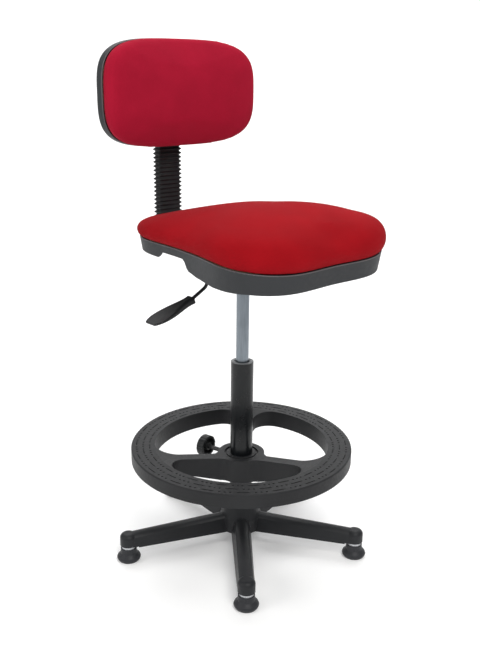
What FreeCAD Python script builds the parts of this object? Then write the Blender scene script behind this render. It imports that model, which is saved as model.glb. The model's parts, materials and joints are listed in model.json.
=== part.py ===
"""Drafting chair: five-arm base on glides, gas lift, foot ring, seat and a small backrest on a J-shaped bar.

Frame: +Z up, origin on the floor under the column, the sitter faces -Y and has -X at the right hand.
Lengths are in millimetres and angles in degrees.
"""
import FreeCAD, Part
import math
import os
import Sketcher
from FreeCAD import Placement, Rotation, Vector

SIZES = {
    # five-arm base
    "arm_count": 5,
    "arm_turn": -130.2,
    "foot_circle_radius": 265.7,
    "arm_foot_width": 37,
    "arm_crest_width": 15,
    "arm_root_width": 46,
    "arm_bottom": 35,
    "arm_tip_top": 65,
    "arm_root_top": 75,
    "arm_skin": 4,
    "boss_radius": 18.5,
    "boss_bottom": 37,
    "hub_bottom_radius": 47,
    "hub_top_radius": 37,
    "hub_shoulder": 66,
    "hub_top": 98,
    # glides
    "glide_height": 30,
    "glide_radius": 26.4,
    "glide_belly": 7.5,
    "glide_sole_radius": 22.5,
    "glide_neck_radius": 17.6,
    "glide_neck_height": 18,
    "stem_radius": 5.5,
    "stem_reach": 22,
    # column tube and its bearing
    "tube_radius": 25,
    "tube_wall": 2,
    "tube_bottom": 24,
    "tube_top": 438,
    "tube_floor": 4,
    "taper_length": 60,
    "taper_drop": 1.5,
    "sleeve_length": 100,
    "running_gap": 0.05,
    "race_radius": 18,
    "race_thickness": 2,
    "ball_radius": 2.45,
    "ball_circle_radius": 11.5,
    "ball_count": 10,
    "ball_play": 0.05,
    "buffer_radius": 12,
    "buffer_height": 12,
    # gas spring
    "rod_radius": 5,
    "rod_tail_radius": 4,
    "rod_bottom": 17,
    "rod_top": 352,
    "clip_radius": 8,
    "clip_thickness": 1.1,
    "piston_height": 12,
    "piston_gap": 0.08,
    "cylinder_radius": 14,
    "cylinder_wall": 1.5,
    "cylinder_bottom": 330,
    "cylinder_top": 667,
    "cylinder_head": 62,
    "cylinder_taper": 40,
    "cylinder_nose_radius": 13.2,
    "guide_height": 9,
    "valve_height": 26,
    "pin_radius": 3,
    "pin_stand": 7,
    "pin_travel": 4.5,
    # foot ring
    "ring_radius": 246.5,
    "ring_top": 244,
    "ring_face": 52,
    "ring_edge_round": 3,
    "ring_outer_height": 30,
    "ring_inner_height": 39,
    "ring_skin": 4,
    "ring_turn": 42,
    "spoke_count": 3,
    "spoke_width": 27,
    "spoke_round": 42,
    "hub_round": 22,
    "ring_hub_radius": 52,
    "ring_hub_top": 221,
    "ring_hub_bottom": 168,
    "ring_well_radius": 38,
    "ring_well_depth": 4,
    "bush_wall": 4,
    "bush_flange_radius": 33,
    "bush_flange": 3,
    "bush_slit": 3,
    "ring_knob_height": 208,
    "knob_radius": 25,
    "knob_thickness": 19,
    "knob_lobes": 12,
    "knob_stand": 40,
    "screw_radius": 5,
    # under the seat
    "socket_radius": 19,
    "socket_bottom": 630,
    "plate_width": 190,
    "plate_front": 112,
    "plate_rear": 104,
    "plate_thickness": 3,
    "box_width": 104,
    "box_front": 66,
    "box_rear": 44,
    "box_bottom": 652,
    "box_wall": 2.5,
    "lever_pivot": 40,
    "lever_radius": 3.6,
    "lever_pin_radius": 2,
    "lever_gap": 0.4,
    "lever_play": 0.08,
    "ear_thickness": 3,
    "lever_shoulder": 80,
    "lever_knee_side": 104,
    "lever_knee_height": 622,
    "lever_bend": 14,
    "lever_tang": 22,
    "paddle_root_side": 142,
    "paddle_root_height": 602,
    "paddle_length": 108,
    "paddle_slope": 16,
    "paddle_width": 46,
    "paddle_neck_width": 27,
    "paddle_neck_thickness": 15,
    "bar_width": 40,
    "bar_thickness": 8,
    "bar_height": 677,
    "bar_front": 62,
    "bar_back": 252,
    "bar_top": 985,
    "bar_bend": 42,
    "bar_gap": 0.1,
    "bar_sleeve_front": 47,
    "bar_sleeve_rear": 158,
    "bar_sleeve_wall": 4,
    "depth_knob_place": 118,
    "depth_knob_stand": 34,
    # seat
    "seat_rear": 200,
    "seat_front": 256,
    "seat_rear_half": 153,
    "seat_waist_half": 173,
    "seat_front_half": 193,
    "seat_shoulder_half": 199,
    "seat_nose_half": 144,
    "rim_height": 709,
    "rim_droop": 16,
    "droop_start": 82,
    "shell_wall": 3,
    "shell_draft": 9,
    "shell_floor": 693,
    "skirt_bottom": 660,
    "skirt_nose": 655,
    "notch_front": -22,
    "notch_rear": 62,
    "lobe_bottom": 680,
    "rear_window": 104,
    "board_thickness": 9,
    "board_inset": 20,
    "cushion_height": 76,
    "cushion_bulge": 6,
    "bolt_spread_side": 160,
    "bolt_spread_fore": 200,
    "bolt_radius": 3,
    "bolt_head_radius": 6.5,
    "bolt_head": 4.5,
    # backrest
    "back_width": 397,
    "back_height": 219,
    "back_centre": 992,
    "back_rim": 226,
    "back_bow_radius": 1300,
    "back_square": 3.6,
    "back_shell_depth": 18,
    "back_shell_lip": 5,
    "back_cushion_depth": 46,
    "back_cushion_grow": 1.5,
    "back_board_front": 3,
    "back_board_thickness": 8,
    "back_board_inset": 14,
    "back_pod_width": 92,
    "back_pod_top": 1022,
    "back_pod_depth": 36,
    "bracket_bottom": 925,
    "bracket_height": 50,
    "bracket_lip": 6,
    "bracket_plate_width": 78,
    "height_knob_place": 950,
    # bellows
    "bellows_width": 64,
    "bellows_depth": 27,
    "bellows_fold_depth": 3.5,
    "bellows_folds": 21,
    "bellows_end_gap": 1,
    "bellows_wall": 1.5,
    "bellows_corner": 5,
}

doc = FreeCAD.newDocument("drafting_chair")
sheet = doc.addObject("Spreadsheet::Sheet", "sizes")
for row, (alias, number) in enumerate(SIZES.items(), start=1):
    sheet.set(f"A{row}", alias)
    sheet.set(f"B{row}", str(number))
    sheet.setAlias(f"B{row}", alias)
doc.recompute()


class Dim:
    """A number from the sheet, or worked out from it, with the expression that gives it."""

    def __init__(self, value, text):
        self.value = value
        self.text = text

    def combine(self, sign, other, value):
        return Dim(value, f"({self.text} {sign} {as_dim(other).text})")

    def __add__(self, other):
        return self.combine("+", other, self.value + as_dim(other).value)

    def __sub__(self, other):
        return self.combine("-", other, self.value - as_dim(other).value)

    def __mul__(self, other):
        return self.combine("*", other, self.value * as_dim(other).value)

    def __truediv__(self, other):
        return self.combine("/", other, self.value / as_dim(other).value)

    def __neg__(self):
        return Dim(-self.value, f"(0 - {self.text})")


class Sheet:
    """The sheet's cells as Dims: d.tube_radius."""

    def __getattr__(self, alias):
        return Dim(float(sheet.get(alias)), f"sizes.{alias}")


def as_dim(number):
    return number if isinstance(number, Dim) else Dim(float(number), repr(float(number)))


d = Sheet()
ZERO = as_dim(0)
UP = Vector(0, 0, 1)


def mm(alias):
    """The plain number in a cell, for shapes made by formula."""
    return float(sheet.get(alias))


def bind(obj, prop, dim):
    obj.setExpression(prop, as_dim(dim).text)


# ---------------------------------------------------------------- PartDesign helpers


def new_body(label):
    body = doc.addObject("PartDesign::Body", label)
    body.Label = label
    return body


def origin_feature(body, role):
    return next(item for item in body.Origin.OriginFeatures if item.Role == role)


def new_sketch(body, name, plane="XZ_Plane", lift=None):
    sketch = body.newObject("Sketcher::SketchObject", f"{body.Label}_{name}")
    sketch.AttachmentSupport = [(origin_feature(body, plane), "")]
    sketch.MapMode = "FlatFace"
    if lift is not None:
        bind(sketch, "AttachmentOffset.Base.z", lift)
    return sketch


def pin_coordinate(sketch, kind, axis, index, dim):
    """Holds one coordinate of a line's start, from the sketch's own origin."""
    if abs(dim.value) < 1e-9:
        sketch.addConstraint(Sketcher.Constraint("PointOnObject", index, 1, axis))
        return
    ends = (-1, 1, index, 1) if dim.value > 0 else (index, 1, -1, 1)
    size = dim if dim.value > 0 else -dim
    number = sketch.addConstraint(Sketcher.Constraint(kind, *ends, size.value))
    sketch.setExpression(f"Constraints[{number}]", size.text)


def add_polygon(sketch, corners):
    """A closed outline whose corners are held by the sheet."""
    corners = [(as_dim(x), as_dim(y)) for x, y in corners]
    first = sketch.GeometryCount
    count = len(corners)
    for i, (x, y) in enumerate(corners):
        after = corners[(i + 1) % count]
        start = Vector(x.value, y.value, 0)
        end = Vector(after[0].value, after[1].value, 0)
        sketch.addGeometry(Part.LineSegment(start, end), False)
    for i in range(count):
        joint = Sketcher.Constraint("Coincident", first + i, 2, first + (i + 1) % count, 1)
        sketch.addConstraint(joint)
    for i, (x, y) in enumerate(corners):
        pin_coordinate(sketch, "DistanceX", -2, first + i, x)
        pin_coordinate(sketch, "DistanceY", -1, first + i, y)


def revolve(body, name, corners, cut=False):
    """Turns an outline given as (radius, height) about the body's Z axis."""
    sketch = new_sketch(body, f"{name}_outline")
    add_polygon(sketch, corners)
    kind = "PartDesign::Groove" if cut else "PartDesign::Revolution"
    feature = body.newObject(kind, f"{body.Label}_{name}")
    feature.Profile = sketch
    feature.ReferenceAxis = (sketch, ["V_Axis"])
    feature.Angle = 360
    sketch.Visibility = False
    return feature


def extrude(body, sketch, name, length, cut=False, midplane=False, reverse=False):
    kind = "PartDesign::Pocket" if cut else "PartDesign::Pad"
    feature = body.newObject(kind, f"{body.Label}_{name}")
    feature.Profile = sketch
    feature.Type = "Length"
    bind(feature, "Length", length)
    if midplane:
        feature.SideType = "Symmetric"
    feature.Reversed = reverse
    sketch.Visibility = False
    return feature


def turned(label, corners):
    """A body of one turned shape."""
    body = new_body(label)
    revolve(body, "turn", corners)
    return body


def ring_corners(inner, outer, bottom, top):
    return [(inner, bottom), (outer, bottom), (outer, top), (inner, top)]


def place(obj, x=ZERO, y=ZERO, z=ZERO, rotation=None):
    if rotation is not None:
        obj.Placement = Placement(Vector(0, 0, 0), rotation)
    for prop, dim in (("x", x), ("y", y), ("z", z)):
        bind(obj, f"Placement.Base.{prop}", dim)


def at_angle(radius, angle):
    """X and Y of a point on a circle about the column."""
    radius, angle = as_dim(radius), as_dim(angle)
    turn = math.radians(angle.value)
    x = Dim(radius.value * math.cos(turn), f"({radius.text} * cos({angle.text} * 1deg))")
    y = Dim(radius.value * math.sin(turn), f"({radius.text} * sin({angle.text} * 1deg))")
    return x, y


# ---------------------------------------------------------------- formula-shape helpers


def add_shape(label, shape):
    feature = doc.addObject("Part::Feature", label)
    feature.Label = label
    feature.Shape = shape
    return feature


def fuse(shapes):
    return shapes[0].multiFuse(shapes[1:]).removeSplitter()


def single(shape):
    """The one solid in a boolean's result."""
    return shape.Solids[0] if len(shape.Solids) == 1 else shape


def box(x0, x1, y0, y1, z0, z1):
    return Part.makeBox(x1 - x0, y1 - y0, z1 - z0, Vector(x0, y0, z0))


def cylinder(radius, start, end):
    axis = end - start
    return Part.makeCylinder(radius, axis.Length, start, axis)


def uprights(shape):
    return [e for e in shape.Edges if abs(e.tangentAt(e.FirstParameter).z) > 0.9]


def polygon_face(points):
    return Part.Face(Part.makePolygon(points + points[:1]))


def rounded_rectangle(width, depth, radius, height):
    """A level rectangle wire about the Z axis with rounded corners."""
    slab = Part.makeBox(width, depth, 1, Vector(-width / 2, -depth / 2, height))
    solid = slab.makeFillet(radius, uprights(slab))
    return min(solid.Faces, key=lambda face: face.CenterOfMass.z).OuterWire


# ---------------------------------------------------------------- base


def arm_section(reach, width, top, bottom, crest):
    """An arm's cross-section: leaning sides under a half-round crest, at a distance along X."""
    half, rise = width / 2, crest * 0.5
    left = Vector(reach, -crest / 2 - rise, top - rise)
    right = Vector(reach, crest / 2 + rise, top - rise)
    crown = Vector(reach, 0, top)
    foot_left = Vector(reach, -half, bottom)
    foot_right = Vector(reach, half, bottom)
    edges = [
        Part.LineSegment(foot_right, foot_left).toShape(),
        Part.LineSegment(foot_left, left).toShape(),
        Part.Arc(left, crown, right).toShape(),
        Part.LineSegment(right, foot_right).toShape(),
    ]
    return Part.Wire(edges)


def make_star_base():
    reach, bottom, skin = mm("foot_circle_radius"), mm("arm_bottom"), mm("arm_skin")
    root = 20
    crest = mm("arm_crest_width")
    arm = Part.makeLoft(
        [
            arm_section(root, mm("arm_root_width"), mm("arm_root_top"), bottom, crest),
            arm_section(reach, mm("arm_foot_width"), mm("arm_tip_top"), bottom, crest),
        ],
        True,
        True,
    )
    boss_radius = mm("boss_radius")
    foot = Vector(reach, 0, mm("boss_bottom"))
    boss = Part.makeCylinder(boss_radius, mm("arm_tip_top") - mm("boss_bottom"), foot)
    top_edge = max(boss.Edges, key=lambda edge: edge.CenterOfMass.z)
    boss = boss.makeFillet(boss_radius * 0.55, [top_edge])
    under_boss = Part.makeCylinder(boss_radius + 8, mm("boss_bottom") - bottom, Vector(reach, 0, bottom))
    hollow = Part.makeLoft(
        [
            arm_section(
                mm("hub_bottom_radius"),
                mm("arm_root_width") - 2 * skin,
                mm("arm_root_top") - skin,
                bottom - 1,
                crest - skin,
            ),
            arm_section(
                reach - boss_radius - skin,
                mm("arm_foot_width") - 2 * skin,
                mm("arm_tip_top") - skin,
                bottom - 1,
                crest - skin,
            ),
        ],
        True,
        True,
    )
    socket = Part.makeCylinder(mm("stem_radius"), mm("stem_reach"), foot)
    one_arm = arm.cut(under_boss).fuse(boss)
    arms, cuts = [], []
    for i in range(int(mm("arm_count"))):
        turn = mm("arm_turn") + 360 * i / mm("arm_count")
        for made, source in ((arms, one_arm), (cuts, hollow), (cuts, socket)):
            copy = source.copy()
            copy.rotate(Vector(0, 0, 0), UP, turn)
            made.append(copy)
    hub_points = [
        Vector(0, 0, bottom),
        Vector(mm("hub_bottom_radius"), 0, bottom),
        Vector(mm("hub_bottom_radius"), 0, mm("hub_shoulder")),
        Vector(mm("hub_top_radius"), 0, mm("hub_top")),
        Vector(0, 0, mm("hub_top")),
    ]
    hub = polygon_face(hub_points).revolve(Vector(0, 0, 0), UP, 360)
    slope = mm("taper_drop") / mm("taper_length")
    taper_top = mm("tube_bottom") + mm("taper_length")
    low_radius = mm("tube_radius") - slope * (taper_top - bottom + 1)
    bore = Part.makeCone(low_radius, mm("tube_radius"), taper_top - bottom + 1, Vector(0, 0, bottom - 1))
    bore = bore.fuse(Part.makeCylinder(mm("tube_radius"), 200, Vector(0, 0, taper_top)))
    shape = hub.multiFuse(arms).cut(cuts).cut(bore)
    return add_shape("star_base", single(shape.removeSplitter()))


def make_glides():
    nodes = []
    for i in range(int(mm("arm_count"))):
        x, y = at_angle(d.foot_circle_radius, d.arm_turn + Dim(360 * i, str(360 * i)) / d.arm_count)
        glide = turned(
            f"glide_{i + 1}",
            [
                (ZERO, ZERO),
                (d.glide_sole_radius, ZERO),
                (d.glide_radius - 1.2, d.glide_belly - 3.5),
                (d.glide_radius, d.glide_belly),
                (d.glide_radius - 1.6, d.glide_belly + 4),
                (d.glide_neck_radius + 1, d.glide_neck_height),
                (d.glide_neck_radius, d.glide_height - 4),
                (d.glide_neck_radius, d.glide_height),
                (d.stem_radius, d.glide_height),
                (d.stem_radius, d.glide_neck_height),
                (ZERO, d.glide_neck_height),
            ],
        )
        stem = turned(
            f"glide_stem_{i + 1}",
            [
                (ZERO, d.glide_neck_height),
                (d.stem_radius, d.glide_neck_height),
                (d.stem_radius, d.glide_height),
                (d.glide_neck_radius - 2, d.glide_height),
                (d.glide_neck_radius - 2, d.boss_bottom),
                (d.stem_radius, d.boss_bottom),
                (d.stem_radius, d.boss_bottom + d.stem_reach - 2),
                (d.stem_radius - 2, d.boss_bottom + d.stem_reach),
                (ZERO, d.boss_bottom + d.stem_reach),
            ],
        )
        for node in (glide, stem):
            place(node, x, y)
            nodes.append(node)
    return nodes


# ---------------------------------------------------------------- column and gas spring


def make_column():
    taper_top = d.tube_bottom + d.taper_length
    floor_top = d.tube_bottom + d.tube_floor
    low_radius = d.tube_radius - d.taper_drop
    tube = turned(
        "column_tube",
        [
            (d.rod_tail_radius + d.running_gap, d.tube_bottom),
            (low_radius, d.tube_bottom),
            (d.tube_radius, taper_top),
            (d.tube_radius, d.tube_top),
            (d.tube_radius - d.tube_wall, d.tube_top),
            (d.tube_radius - d.tube_wall, taper_top),
            (low_radius - d.tube_wall, floor_top),
            (d.rod_tail_radius + d.running_gap, floor_top),
        ],
    )
    bore = d.cylinder_radius + d.running_gap
    sleeve_radius = d.tube_radius - d.tube_wall
    sleeve = turned(
        "guide_sleeve",
        [
            (bore, d.tube_top - d.sleeve_length),
            (sleeve_radius, d.tube_top - d.sleeve_length),
            (sleeve_radius, d.tube_top),
            (sleeve_radius - 2, d.tube_top + 1),
            (bore + 3, d.tube_top + 1),
            (bore, d.tube_top - 3),
        ],
    )
    return [tube, sleeve]


def make_bearing():
    floor_top = d.tube_bottom + d.tube_floor
    ball_middle = floor_top + d.race_thickness + d.ball_play / 2 + d.ball_radius
    upper_bottom = ball_middle + d.ball_radius + d.ball_play / 2
    buffer_bottom = upper_bottom + d.race_thickness
    lower_top = floor_top + d.race_thickness
    lower = turned("lower_race", ring_corners(d.rod_radius + 0.6, d.race_radius, floor_top, lower_top))
    upper = turned("upper_race", ring_corners(d.rod_radius, d.race_radius, upper_bottom, buffer_bottom))
    buffer_top = buffer_bottom + d.buffer_height
    rubber = turned("rubber_buffer", ring_corners(d.rod_radius, d.buffer_radius, buffer_bottom, buffer_top))
    balls, holes = [], []
    for i in range(int(mm("ball_count"))):
        turn = 2 * math.pi * i / mm("ball_count")
        centre = Vector(math.cos(turn), math.sin(turn), 0) * mm("ball_circle_radius")
        centre.z = ball_middle.value
        balls.append(Part.makeSphere(mm("ball_radius"), centre))
        holes.append(Part.makeCylinder(mm("ball_radius") + 0.05, 4, centre - UP * 2))
    cage_half = mm("ball_radius") * 0.35
    cage_foot = Vector(0, 0, ball_middle.value - cage_half)
    cage = Part.makeCylinder(mm("race_radius") - 2.5, 2 * cage_half, cage_foot)
    cage = cage.cut(Part.makeCylinder(mm("rod_radius") + 1.2, 10, Vector(0, 0, ball_middle.value - 5)))
    return [
        lower,
        upper,
        rubber,
        add_shape("bearing_balls", Part.makeCompound(balls)),
        add_shape("ball_cage", single(cage.cut(holes))),
    ]


def make_gas_spring():
    floor_top = d.tube_bottom + d.tube_floor
    groove = d.tube_bottom - 2 - d.clip_thickness
    neck = d.rod_tail_radius - 0.8
    rod = turned(
        "piston_rod",
        [
            (ZERO, d.rod_bottom),
            (d.rod_tail_radius, d.rod_bottom),
            (d.rod_tail_radius, groove),
            (neck, groove),
            (neck, groove + d.clip_thickness),
            (d.rod_tail_radius, groove + d.clip_thickness),
            (d.rod_tail_radius, floor_top + 0.3),
            (d.rod_radius, floor_top + 0.3),
            (d.rod_radius, d.rod_top),
            (ZERO, d.rod_top),
        ],
    )
    clip = turned("retaining_clip", ring_corners(neck, d.clip_radius, groove, groove + d.clip_thickness))
    bore = d.cylinder_radius - d.cylinder_wall
    piston_bottom = d.rod_top - d.piston_height
    piston = turned("piston", ring_corners(d.rod_radius, bore - d.piston_gap, piston_bottom, d.rod_top))
    head_bottom = d.cylinder_top - d.cylinder_head
    pin_bore = d.pin_radius + d.running_gap
    barrel = turned(
        "gas_cylinder",
        [
            (bore, d.cylinder_bottom),
            (d.cylinder_radius, d.cylinder_bottom),
            (d.cylinder_radius, d.cylinder_top - d.cylinder_taper),
            (d.cylinder_nose_radius, d.cylinder_top),
            (pin_bore, d.cylinder_top),
            (pin_bore, head_bottom),
            (bore, head_bottom),
        ],
    )
    guide_top = d.cylinder_bottom + d.guide_height
    guide_bore = d.rod_radius + d.running_gap
    guide = turned("rod_guide", ring_corners(guide_bore, bore, d.cylinder_bottom, guide_top))
    valve = turned("valve_block", ring_corners(pin_bore, bore, head_bottom - d.valve_height, head_bottom))
    pin = turned(
        "release_pin",
        [
            (ZERO, head_bottom - d.valve_height + d.pin_travel + 2),
            (d.pin_radius, head_bottom - d.valve_height + d.pin_travel + 2),
            (d.pin_radius, d.cylinder_top + d.pin_stand - 0.8),
            (d.pin_radius - 0.8, d.cylinder_top + d.pin_stand),
            (ZERO, d.cylinder_top + d.pin_stand),
        ],
    )
    return [rod, clip, piston, barrel, guide, valve, pin]


# ---------------------------------------------------------------- foot ring


def ring_opening(inset):
    """One opening between two spokes as an upright prism; a negative inset makes it larger all round."""
    count = mm("spoke_count")
    rim = mm("ring_radius") - mm("ring_face") - inset
    hub = mm("ring_hub_radius") + inset
    half = mm("spoke_width") / 2 + inset
    blank = Part.makeCylinder(rim, 400).cut(Part.makeCylinder(hub, 400))
    spokes = repeated(box(0, rim + 50, -half, half, 0, 400), count)
    middle = Vector(math.cos(math.pi / count), math.sin(math.pi / count), 0)
    sector = max(blank.cut(spokes).Solids, key=lambda s: s.CenterOfMass.dot(middle))
    split = (rim + hub) / 2
    sector = round_uprights(sector, mm("spoke_round") - inset, split, 1e6)
    return round_uprights(sector, mm("hub_round") - inset, 0, (hub + half) * 1.3)


def round_uprights(solid, radius, nearest, farthest):
    """Rounds the upright edges that stand between two distances from the column."""
    chosen = []
    for edge in solid.Edges:
        if abs(edge.tangentAt(edge.FirstParameter).z) < 0.99:
            continue
        distance = math.hypot(edge.CenterOfMass.x, edge.CenterOfMass.y)
        if nearest < distance < farthest:
            chosen.append(edge)
    return solid.makeFillet(radius, chosen)


def dish(outer, drop, underside):
    """The ring turned as one dish: level tread and a slope down to the hub, over a given underside."""
    rim = mm("ring_radius") - mm("ring_face")
    hub = mm("ring_hub_radius") + 8
    top, hub_top = mm("ring_top") - drop, mm("ring_hub_top") - drop
    upper = [Vector(outer, 0, top), Vector(rim, 0, top), Vector(hub, 0, hub_top), Vector(0, 0, hub_top)]
    return polygon_face(underside + upper).revolve(Vector(0, 0, 0), UP, 360)


def repeated(shape, count):
    copies = []
    for i in range(int(count)):
        copy = shape.copy()
        copy.rotate(Vector(0, 0, 0), UP, 360 * i / count)
        copies.append(copy)
    return copies


def make_foot_ring():
    skin, radius, count = mm("ring_skin"), mm("ring_radius"), mm("spoke_count")
    rim, hub = radius - mm("ring_face"), mm("ring_hub_radius") + 8
    outer_bottom = mm("ring_top") - mm("ring_outer_height")
    inner_bottom = mm("ring_top") - mm("ring_inner_height")
    hub_bottom, hub_top = mm("ring_hub_bottom"), mm("ring_hub_top")
    underside = [
        Vector(0, 0, hub_bottom),
        Vector(hub, 0, hub_bottom),
        Vector(rim - 30, 0, inner_bottom),
        Vector(rim + 12, 0, inner_bottom),
        Vector(rim + 20, 0, outer_bottom),
        Vector(radius, 0, outer_bottom),
    ]
    ring = dish(radius, 0, underside)
    level = [e for e in ring.Edges if e.Closed and abs(e.CenterOfMass.z - mm("ring_top")) < 0.1]
    ring = ring.makeFillet(mm("ring_edge_round"), [max(level, key=lambda e: e.Length)])
    below = hub_bottom - 20
    hollow = dish(radius - skin, skin, [Vector(0, 0, below), Vector(radius - skin, 0, below)])
    hollow = hollow.cut(repeated(ring_opening(-skin), count))
    bore = mm("tube_radius") + mm("running_gap") + mm("bush_wall") + mm("running_gap")
    well = mm("ring_well_radius")
    hollow = hollow.cut(Part.makeCylinder(well + 1, 400))
    ring = ring.cut(repeated(ring_opening(0), count)).cut(hollow)
    ring = ring.cut(Part.makeCylinder(well, 50, Vector(0, 0, hub_top - mm("ring_well_depth"))))
    ring = ring.cut(Part.makeCylinder(bore, 400))
    knob_turn = math.radians(180 / count)
    out = Vector(math.cos(knob_turn), math.sin(knob_turn), 0)
    height = UP * mm("ring_knob_height")
    hub_edge = mm("ring_hub_radius")
    boss_radius = mm("screw_radius") + 0.6 * skin
    boss = cylinder(boss_radius, out * (bore + 1) + height, out * (hub_edge - skin / 2) + height)
    screw_hole = cylinder(mm("screw_radius") + mm("running_gap"), height, out * (hub_edge + 30) + height)
    ring = single(ring.fuse(boss).cut(screw_hole).removeSplitter())
    ring.rotate(Vector(0, 0, 0), UP, mm("ring_turn"))
    return add_shape("foot_ring", ring)


def make_ring_bush():
    inner = d.tube_radius + d.running_gap
    outer = inner + d.bush_wall
    well_floor = d.ring_hub_top - d.ring_well_depth + 0.1
    body = turned(
        "ring_bush",
        [
            (inner, d.ring_hub_bottom - 4),
            (outer, d.ring_hub_bottom - 4),
            (outer, well_floor),
            (d.bush_flange_radius, well_floor),
            (d.bush_flange_radius, well_floor + d.bush_flange),
            (inner, well_floor + d.bush_flange),
        ],
    )
    sketch = new_sketch(body, "slit", "XY_Plane")
    half = d.bush_slit / 2
    reach = d.bush_flange_radius + 5
    add_polygon(sketch, [(ZERO, -half), (-reach, -half), (-reach, half), (ZERO, half)])
    extrude(body, sketch, "slit_cut", d.ring_top, cut=True, reverse=True)
    return body


def make_knob(label, out, start, inward_reach):
    """A lobed knob, hollow on its screw's side, and the screw, both on the line from start along out."""
    radius, thickness, screw_radius = mm("knob_radius"), mm("knob_thickness"), mm("screw_radius")
    head = Part.makeCylinder(radius, thickness)
    head = head.makeFillet(4, [e for e in head.Edges if e.Closed and e.CenterOfMass.z > 1])
    lobes = int(mm("knob_lobes"))
    notches = []
    for i in range(lobes):
        turn = 2 * math.pi * (i + 0.5) / lobes
        centre = Vector(math.cos(turn), math.sin(turn), 0) * (radius + 4.6)
        notches.append(Part.makeCylinder(5.5, thickness + 2, centre - UP))
    dome = Part.makeCylinder(radius - 5, thickness * 0.6, Vector(0, 0, -1))
    core = Part.makeCylinder(screw_radius + 4, thickness)
    seat = Part.makeCylinder(screw_radius, thickness - 4, Vector(0, 0, -1))
    head = head.cut(notches).cut(dome).fuse(core).cut(seat)
    screw = Part.makeCylinder(screw_radius, inward_reach + thickness - 5, Vector(0, 0, -inward_reach))
    ends = [e for e in screw.Edges if e.Closed]
    screw = screw.makeChamfer(1, [min(ends, key=lambda e: e.CenterOfMass.z)])
    made = []
    for name, shape in ((f"{label}_knob", head), (f"{label}_screw", screw)):
        feature = add_shape(name, single(shape.removeSplitter()))
        feature.Placement = Placement(start, Rotation(UP, out))
        made.append(feature)
    return made


def make_ring_knob():
    turn = math.radians(mm("ring_turn") + 180 / mm("spoke_count"))
    out = Vector(math.cos(turn), math.sin(turn), 0)
    stand = mm("ring_hub_radius") + mm("knob_stand")
    start = out * stand + UP * mm("ring_knob_height")
    reach = stand - mm("tube_radius") - mm("running_gap") - mm("bush_wall") - 0.1
    return make_knob("ring", out, start, reach)


# ---------------------------------------------------------------- mechanism under the seat


def bolt_places():
    side, fore = mm("bolt_spread_side") / 2, mm("bolt_spread_fore") / 2
    middle = (mm("plate_rear") - mm("plate_front")) / 2
    return [(x, y + middle) for x in (-side, side) for y in (-fore, fore)]


def bolt_holes(low, length):
    return [Part.makeCylinder(mm("bolt_radius"), length, Vector(x, y, low)) for x, y in bolt_places()]


def make_mechanism():
    plate_top = mm("shell_floor")
    plate_bottom = plate_top - mm("plate_thickness")
    half = mm("plate_width") / 2
    plate = box(-half, half, -mm("plate_front"), mm("plate_rear"), plate_bottom, plate_top)
    plate = plate.makeFillet(18, uprights(plate))
    plate = plate.cut(bolt_holes(plate_bottom - 5, 20))
    bottom, wall, side = mm("box_bottom"), mm("box_wall"), mm("box_width") / 2
    front, rear = -mm("box_front"), mm("box_rear")
    shell = box(-side, side, front, rear, bottom, plate_bottom)
    shell = shell.makeFillet(10, uprights(shell))
    inner = box(-side + wall, side - wall, front + wall, rear - wall, bottom + wall, plate_bottom + 1)
    shell = shell.cut(inner.makeFillet(8, uprights(inner)))
    socket_hole = Part.makeCylinder(mm("socket_radius"), 60, Vector(0, 0, mm("socket_bottom")))
    slot = box(-side - 5, 5 - side, -9, 9, bottom + 6, plate_bottom + 1)
    window_half = mm("bar_width") / 2 + 1
    window_low = mm("bar_height") - mm("bar_thickness") / 2 - 1
    window = box(-window_half, window_half, rear - wall - 1, rear + 1, window_low, plate_bottom + 1)
    shell = single(shell.cut([socket_hole, slot, window]).removeSplitter())
    slope = (mm("cylinder_radius") - mm("cylinder_nose_radius")) / mm("cylinder_taper")
    socket_height = mm("cylinder_top") - mm("socket_bottom")
    bore_low = mm("cylinder_nose_radius") + slope * socket_height
    foot = Vector(0, 0, mm("socket_bottom"))
    socket = Part.makeCylinder(mm("socket_radius"), socket_height, foot)
    socket = socket.cut(Part.makeCone(bore_low, mm("cylinder_nose_radius"), socket_height, foot))
    return [
        add_shape("mounting_plate", plate),
        add_shape("mechanism_box", shell),
        add_shape("taper_socket", socket),
    ]


def make_bar():
    """The J-shaped flat bar: back along Y under the seat, then up behind it."""
    height, half = mm("bar_height"), mm("bar_thickness") / 2
    side, bend = mm("bar_width") / 2, mm("bar_bend")
    front, back, top = mm("bar_front"), mm("bar_back"), mm("bar_top")
    flat = box(-side, side, front, back - bend, height - half, height + half)
    upright = box(-side, side, back - half, back + half, height + bend, top)
    section = polygon_face(
        [
            Vector(-side, back - bend, height - half),
            Vector(side, back - bend, height - half),
            Vector(side, back - bend, height + half),
            Vector(-side, back - bend, height + half),
        ]
    )
    elbow = section.revolve(Vector(0, back - bend, height + bend), Vector(1, 0, 0), 90)
    return add_shape("back_bar", single(flat.multiFuse([elbow, upright]).removeSplitter()))


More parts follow.
